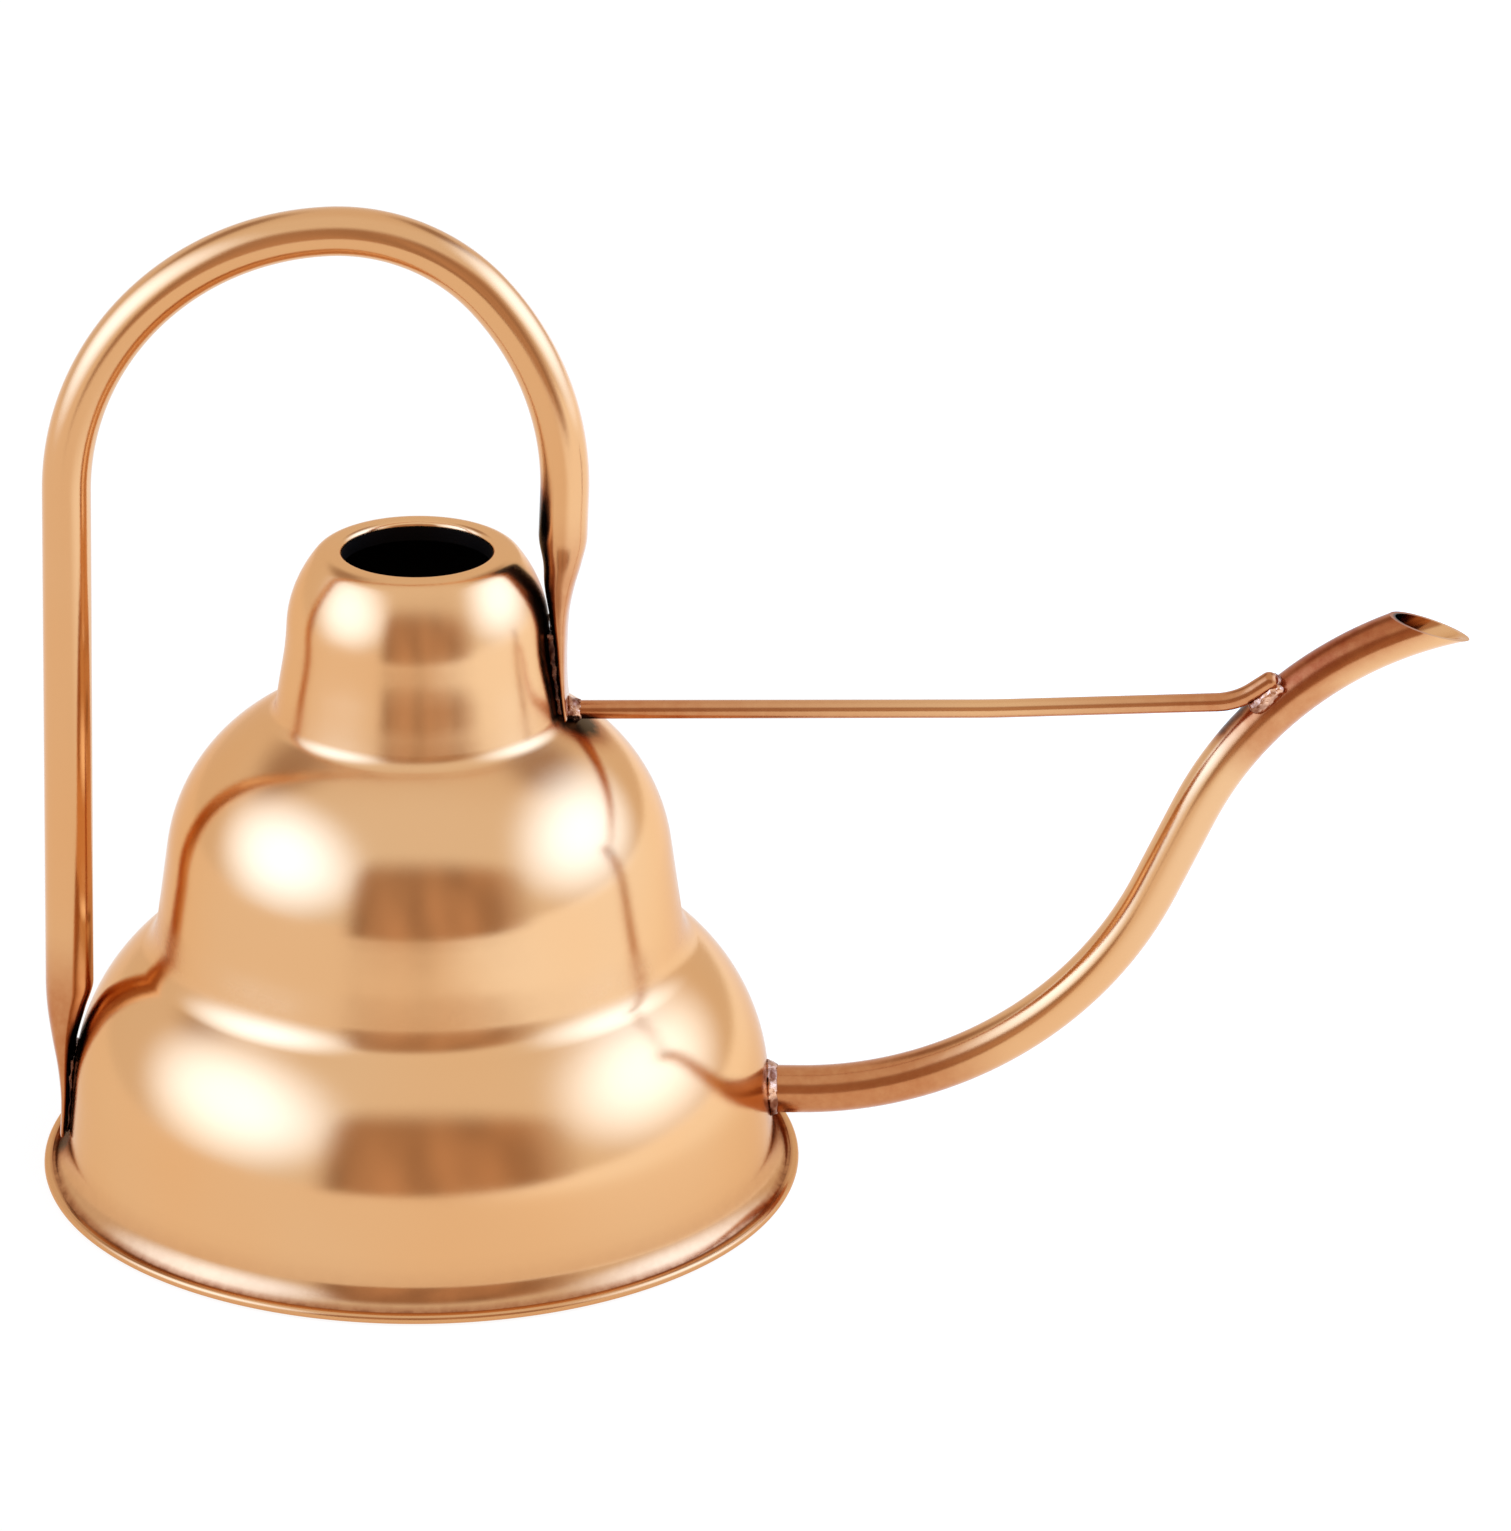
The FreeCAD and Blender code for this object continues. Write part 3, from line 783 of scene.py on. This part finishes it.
def copper(name, grain_scale, roughness=(0.06, 0.12), drawn=0.0, spun=False):
    """Polished copper. The grain scale stretches the polishing lines along the way the wheel ran. Drawn is
    how much of a drawn tube's streaky brown skin is left under the polish. On spun metal the wheel's lines
    run round the axis, so they blur reflections up and down."""
    s = Shader(name)
    grain = s.add("Attribute", attribute_name="grain").outputs["Vector"]
    painted_shade = s.add("Attribute", attribute_name="painted_shade").outputs["Fac"]
    heat_and_shade = s.add("Attribute", attribute_name="torch_and_shade").outputs["Fac"]
    dull = s.add("Attribute", attribute_name="dull").outputs["Fac"]
    place = s.add("TexCoord").outputs["Object"]
    lines = s.noise(s.stretch(grain, grain_scale), *LINES)
    bands = s.noise(s.stretch(grain, [c * BAND_STRETCH for c in grain_scale]), *BANDS)
    haze = s.noise(place, *HAZE)
    tint = s.noise(place, *TINT)
    swell = s.noise(place, *SWELL)
    mottle = s.noise(place, *MOTTLE)
    base = s.mix(s.range(tint, 0.35, 0.7, 0.0, 1.0), rgba(COPPER), rgba(COPPER_WARM))
    base = s.mix(s.range(bands, 0.35, 0.65, drawn * LEAST_DRAWN, drawn), base, rgba(COPPER_DRAWN))
    # Heat flush near the joints, and painted shade under the stay rod, by the same mask.
    flush_and_shade = s.math("MULTIPLY", heat_and_shade, s.range(mottle, 0.3, 0.7, 0.75, 1.0))
    base = s.mix(s.range(flush_and_shade, 0.0, 1.0, 0.0, 1.0), base, rgba(HEATED_AND_SHADE_BROWN))
    base = s.mix(s.range(flush_and_shade, 1.0, 2.0, 0.0, 1.0), base, rgba(SCORCHED_AND_SHADE_DARK))
    # Painted shade: brown, then black, where the painted-shade mask is strong.
    mottled_shade = s.math("MULTIPLY", painted_shade, s.range(mottle, 0.35, 0.65, 0.8, 1.0))
    colour = s.mix(s.range(mottled_shade, 0.0, 1.0, 0.0, 1.0), base, rgba(PAINTED_SHADE_BROWN))
    colour = s.mix(s.range(mottled_shade, 0.8, 1.6, 0.0, 1.0), colour, rgba(PAINTED_SHADE_BLACK))
    low, high = roughness
    worn = s.math("ADD", s.range(haze, 0.35, 0.75, low, high), s.range(lines, 0.35, 0.8, 0.0, LINE_BLUR))
    worn = s.math("ADD", worn, s.math("MULTIPLY", flush_and_shade, HEAT_AND_SHADE_BLUR))
    worn = s.math("ADD", worn, s.math("MULTIPLY", dull, s.range(haze, 0.35, 0.75, *DULL_BLUR)))
    rough = s.math("ADD", worn, s.math("MULTIPLY", mottled_shade, PAINTED_SHADE_BLUR))
    wavy = s.add("Bump", {"Height": swell, "Distance": RIPPLE_DEPTH, "Strength": 1.0})
    fine = s.add("Bump", {"Height": lines, "Distance": LINE_DEPTH, "Strength": 1.0,
                          "Normal": wavy.outputs["Normal"]})
    shader = s.add("BsdfPrincipled", {"Base Color": colour, "Metallic": 1.0, "Roughness": rough,
                                      "Normal": fine.outputs["Normal"]})
    if spun:
        shader.inputs["Specular Tint"].default_value = rgba(SPUN_EDGE)
        round_axis = s.add("Tangent", direction_type="RADIAL", axis="Z")
        s.tree.links.new(round_axis.outputs["Tangent"], shader.inputs["Tangent"])
        shader.inputs["Anisotropic"].default_value = SPUN_STREAK
        shader.inputs["Anisotropic Rotation"].default_value = QUARTER_TURN
    return s.finish(shader.outputs["BSDF"])


def shaded_inside(name):
    """The unpolished, oxidised inside, painted nearly black as shade, with blotches."""
    s = Shader(name)
    place = s.add("TexCoord").outputs["Object"]
    blotch = s.noise(place, *INSIDE_BLOTCH)
    colour = s.mix(blotch, *(rgba(brown) for brown in INSIDE_SHADE_BROWNS))
    bump = s.add("Bump", {"Height": blotch, "Distance": INSIDE_DEPTH, "Strength": 1.0})
    shader = s.add("BsdfPrincipled", {"Base Color": colour, "Metallic": 0.9,
                                      "Roughness": s.range(blotch, 0.3, 0.8, 0.55, 0.75),
                                      "Normal": bump.outputs["Normal"]})
    return s.finish(shader.outputs["BSDF"])


def solder(name, tone, dark):
    """Solder that has taken on a copper colour, in patches of the tone and of the dark one."""
    s = Shader(name)
    place = s.add("TexCoord").outputs["Object"]
    lumps = s.noise(place, *SOLDER_LUMPS)
    patches = s.noise(place, *SOLDER_PATCHES)
    colour = s.mix(s.range(patches, 0.38, 0.62, 0.0, 1.0), rgba(dark), rgba(tone))
    bump = s.add("Bump", {"Height": lumps, "Distance": SOLDER_DEPTH, "Strength": 1.0})
    shader = s.add("BsdfPrincipled", {"Base Color": colour, "Metallic": 1.0,
                                      "Roughness": s.range(patches, 0.3, 0.7, 0.4, 0.16),
                                      "Normal": bump.outputs["Normal"]})
    return s.finish(shader.outputs["BSDF"])


def dress(obj, *materials):
    for material in materials:
        obj.data.materials.append(material)


# ---- the stage -----------------------------------------------------------------------------------

CAMERA_LENS = 181.0              # millimetres, on a sensor of CAMERA_SENSOR
CAMERA_SENSOR = 36.0
CAMERA_FAR = 100.0
CAMERA_PLACE = (0.0695, -1.4666, 0.7028)
CAMERA_PITCH = 22.68             # degrees down
CAMERA_ROLL = -0.0098            # radians

FLOOR_HALF = 6.0
FLOOR_DROP = 0.0001
FLOOR_GREY = (0.18, 0.18, 0.18)
FLOOR_GLOWS = (0.87, 0.87, 0.87), (1.08, 1.25, 1.50)   # under the body and under the spout
FLOOR_GLOW_SPAN = (0.02, 0.24)

STUDIO_FRONT = (0.97, 1.03, 1.10)
STUDIO_BACK = (0.91, 0.92, 0.93)
STUDIO_CORNERS = (0.46, 0.37, 0.32)
# Where parts of the studio begin and are complete, as parts of a direction's unit vector.
FRONT_TO_BACK = (-0.3, 0.4)
CORNERS_BACK = (0.05, 0.40)
CORNERS_UP = (0.45, 0.68)
CORNERS_END = (0.78, 0.92)
CORNERS_ASIDE = (0.12, 0.40)

LIGHTS = (("left_light", -69), ("right_light", 95))    # name and azimuth
LIGHTS_MIDDLE = (0.0, 0.0, 0.08)
LIGHT_ELEVATION = 26
LIGHT_AWAY = 1.15
LIGHT_SIZE = (2.35, 1.65)
LIGHT_COLOUR = (0.36, 0.56, 1.0)
LIGHT_STRENGTH = 5.0
LIGHT_FADE = 0.94
CARD_PLACE = (0.27, -0.60, 0.37)
CARD_FACING = (0.27, 0.0, 0.37)
CARD_SIZE = (1.30, 0.74)
CARD_COLOUR = (0.52, 0.37, 0.28)
CARD_FADES = (0.42, 0.10, 0.01, 0.42)
CARD_FOLDS = 0.30
FOLD_STRETCH = (9.0, 1.2, 1.0)
FOLDS = (1.0, 3.0, 0.6)          # noise scale, detail and roughness


def make_camera():
    data = bpy.data.cameras.new("camera")
    data.lens = CAMERA_LENS
    data.sensor_width = CAMERA_SENSOR
    data.clip_end = CAMERA_FAR
    camera = add_object("camera", data)
    pitch, roll = math.radians(CAMERA_PITCH), CAMERA_ROLL
    forward = Vector((0, math.cos(pitch), -math.sin(pitch)))
    level = Vector((1, 0, 0))
    down = forward.cross(level)
    right = math.cos(roll) * level + math.sin(roll) * down
    up = math.sin(roll) * level - math.cos(roll) * down
    turned = Matrix((right, up, -forward)).transposed().to_4x4()
    camera.matrix_world = Matrix.Translation(CAMERA_PLACE) @ turned
    bpy.context.scene.camera = camera


def direction(azimuth, elevation):
    """Azimuth 0 is towards the camera's side and 90 towards +X."""
    a, e = math.radians(azimuth), math.radians(elevation)
    return Vector((math.sin(a) * math.cos(e), -math.cos(a) * math.cos(e), math.sin(e)))


def rectangle(name, half_w, half_h):
    """A flat rectangle round its own origin, facing up its own Z."""
    mesh = bpy.data.meshes.new(name)
    corners = [(-half_w, -half_h, 0), (half_w, -half_h, 0), (half_w, half_h, 0), (-half_w, half_h, 0)]
    mesh.from_pydata(corners, [], [(0, 1, 2, 3)])
    return add_object(name, mesh)


def make_panel(name, centre, facing, size, colour, strength, fades, folds=0.0):
    """A flat soft light that the camera doesn't see. Its glow fades over a share of its face from each edge,
    given as (left, right, bottom, top), or from the middle outwards where fades is one number. Folds make it
    uneven from side to side, like hung cloth."""
    half_w, half_h = size[0] / 2, size[1] / 2
    panel = rectangle(name, half_w, half_h)
    rotation = (facing - centre).to_track_quat("Z", "Y").to_matrix().to_4x4()
    panel.matrix_world = Matrix.Translation(centre) @ rotation
    panel.visible_camera = False
    panel.visible_diffuse = False
    s = Shader(name)
    place = s.add("TexCoord").outputs["Object"]
    if isinstance(fades, float):
        spread = s.stretch(place, (1 / half_w, 1 / half_h, 0.0))
        away = s.add("VectorMath", {0: spread}, operation="LENGTH").outputs["Value"]
        glow = s.soft_step(away, 1.0, 1.0 - fades)
    else:
        split = s.add("SeparateXYZ", {0: place})
        left, right, bottom, top = fades
        edges = (("X", -half_w, left), ("X", half_w, right), ("Y", -half_h, bottom), ("Y", half_h, top))
        glow = 1.0
        for axis, half, fade in edges:
            ramp = s.soft_step(split.outputs[axis], half, half * (1 - 2 * fade))
            glow = s.math("MULTIPLY", ramp, glow)
    hang = s.noise(s.stretch(place, FOLD_STRETCH), *FOLDS)
    uneven = s.range(hang, 0.35, 0.65, 1.0 - folds, 1.0 + folds)
    light = s.add("Emission", {"Color": rgba(colour), "Strength": s.math("MULTIPLY", uneven, strength)})
    clear = s.add("BsdfTransparent")
    both = s.add("MixShader", {"Fac": glow, 1: clear.outputs[0], 2: light.outputs[0]})
    dress(panel, s.finish(both.outputs[0]))


def make_floor():
    """A pale floor that glows, cooler and brighter under the spout."""
    floor = rectangle("floor", FLOOR_HALF, FLOOR_HALF)
    floor.location.z = -FLOOR_DROP
    s = Shader("floor")
    diffuse = s.add("BsdfDiffuse", {"Color": rgba(FLOOR_GREY)})
    across = s.add("SeparateXYZ", {0: s.add("TexCoord").outputs["Object"]}).outputs["X"]
    pool = s.mix(s.soft_step(across, *FLOOR_GLOW_SPAN), *(rgba(glow) for glow in FLOOR_GLOWS))
    glow = s.add("Emission", {"Color": pool, "Strength": 1.0})
    both = s.add("AddShader", {0: diffuse.outputs[0], 1: glow.outputs[0]})
    dress(floor, s.finish(both.outputs[0]))


def make_world():
    """A pale studio, cooler in front, with dim high corners behind the can at either side."""
    scene = bpy.context.scene
    scene.view_settings.view_transform = "Standard"
    world = bpy.data.worlds.new("studio")
    scene.world = world
    s = Shader("studio", world)
    split = s.add("SeparateXYZ", {0: s.add("TexCoord").outputs["Generated"]})
    behind = s.soft_step(split.outputs["Y"], *CORNERS_BACK)
    high = s.soft_step(split.outputs["Z"], *CORNERS_UP)
    overhead = s.soft_step(split.outputs["Z"], *CORNERS_END)
    aside = s.soft_step(s.math("ABSOLUTE", split.outputs["X"], 0.0), *CORNERS_ASIDE)
    corners = s.math("MULTIPLY", s.math("MULTIPLY", behind, high), s.math("SUBTRACT", aside, overhead))
    front_to_back = s.soft_step(split.outputs["Y"], *FRONT_TO_BACK)
    around = s.mix(front_to_back, rgba(STUDIO_FRONT), rgba(STUDIO_BACK))
    colour = s.mix(s.range(corners, 0.0, 1.0, 0.0, 1.0), around, rgba(STUDIO_CORNERS))
    background = s.add("Background", {"Color": colour, "Strength": 1.0})
    s.finish(background.outputs[0], "OutputWorld")


def make_stage():
    make_camera()
    make_floor()
    make_world()
    middle = Vector(LIGHTS_MIDDLE)
    for name, azimuth in LIGHTS:
        centre = middle + direction(azimuth, LIGHT_ELEVATION) * LIGHT_AWAY
        make_panel(name, centre, middle, LIGHT_SIZE, LIGHT_COLOUR, LIGHT_STRENGTH, LIGHT_FADE)
    make_panel("room_card", Vector(CARD_PLACE), Vector(CARD_FACING), CARD_SIZE, CARD_COLOUR, 1.0, CARD_FADES,
               CARD_FOLDS)


# ---- everything together -------------------------------------------------------------------------

def hand_over(obj, slot, *nodes):
    """Hides the CAD nodes that the object stands for and puts it on the root body. The slot is not used."""
    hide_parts(*nodes)
    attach(obj, "root")


SOLDERS = (
    # piece, node, extra drops (centre, radii), voxel, unevenness, tones
    ("spout_root_bead", "spout_root_solder", (), 0.30, 0.28, "bright"),
    # The tab solders take the dark tones, as painted shade.
    ("rear_tab_solder", "handle_rear_solder", (), 0.40, 0.25, "dark"),
    ("front_tab_solder", "handle_front_solder",
     (((27.2, -3.0, 129.2), (0.9, 0.8, 0.9)),), 0.35, 0.25, "dark"),
    ("stay_rear_bead", "stay_rear_solder",
     (((31.8, -0.6, 101.8), (1.5, 2.2, 1.9)), ((30.6, -4.6, 97.9), (1.1, 1.2, 1.1))), 0.25, 0.30, "bright"),
    ("stay_front_bead", "stay_front_solder",
     (((175.4, -2.4, 110.6), (2.0, 1.8, 1.9)), ((172.2, -4.4, 105.8), (1.2, 1.0, 1.2)),
      ((174.0, -4.8, 107.4), (1.3, 1.0, 1.2)), ((176.6, -4.4, 109.8), (1.2, 1.0, 1.0))),
     0.25, 0.30, "bright"),
)


def main():
    make_stage()
    body_copper = copper("body_copper", SPUN_GRAIN, spun=True)
    pan_copper = copper("pan_copper", SPUN_GRAIN, roughness=(0.12, 0.20), drawn=1.0, spun=True)
    tube_copper = copper("tube_copper", TUBE_GRAIN, roughness=(0.09, 0.16), drawn=0.45)
    rod_copper = copper("rod_copper", TUBE_GRAIN, roughness=(0.12, 0.20), drawn=0.4)
    painted_dark_inside = shaded_inside("shaded_inside")
    solders = {tones: solder(tones + "_solder", *SOLDER_TONES[tones]) for tones in SOLDER_TONES}
    for obj, slot, node, materials in (
            (make_body(), "body_copper", "body_shell", (body_copper, painted_dark_inside)),
            (make_pan(), "pan_copper", "base_pan", (pan_copper,)),
            (make_handle(), "handle_copper", "handle_tube", (tube_copper,)),
            (make_spout(), "spout_copper", "spout_tube", (tube_copper, painted_dark_inside)),
            (make_rod(), "rod_copper", "stay_rod", (rod_copper,))):
        dress(obj, *materials)
        hand_over(obj, slot, node)
    for seed, (name, node, drops, voxel, height, tones) in enumerate(SOLDERS):
        obj = make_lumpy(name, node, drops, voxel, height, seed)
        dress(obj, solders[tones])
        hand_over(obj, "plated_solder", node)
    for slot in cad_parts["base_seam_solder"].material_slots:
        slot.material = solders["bright"]


main()
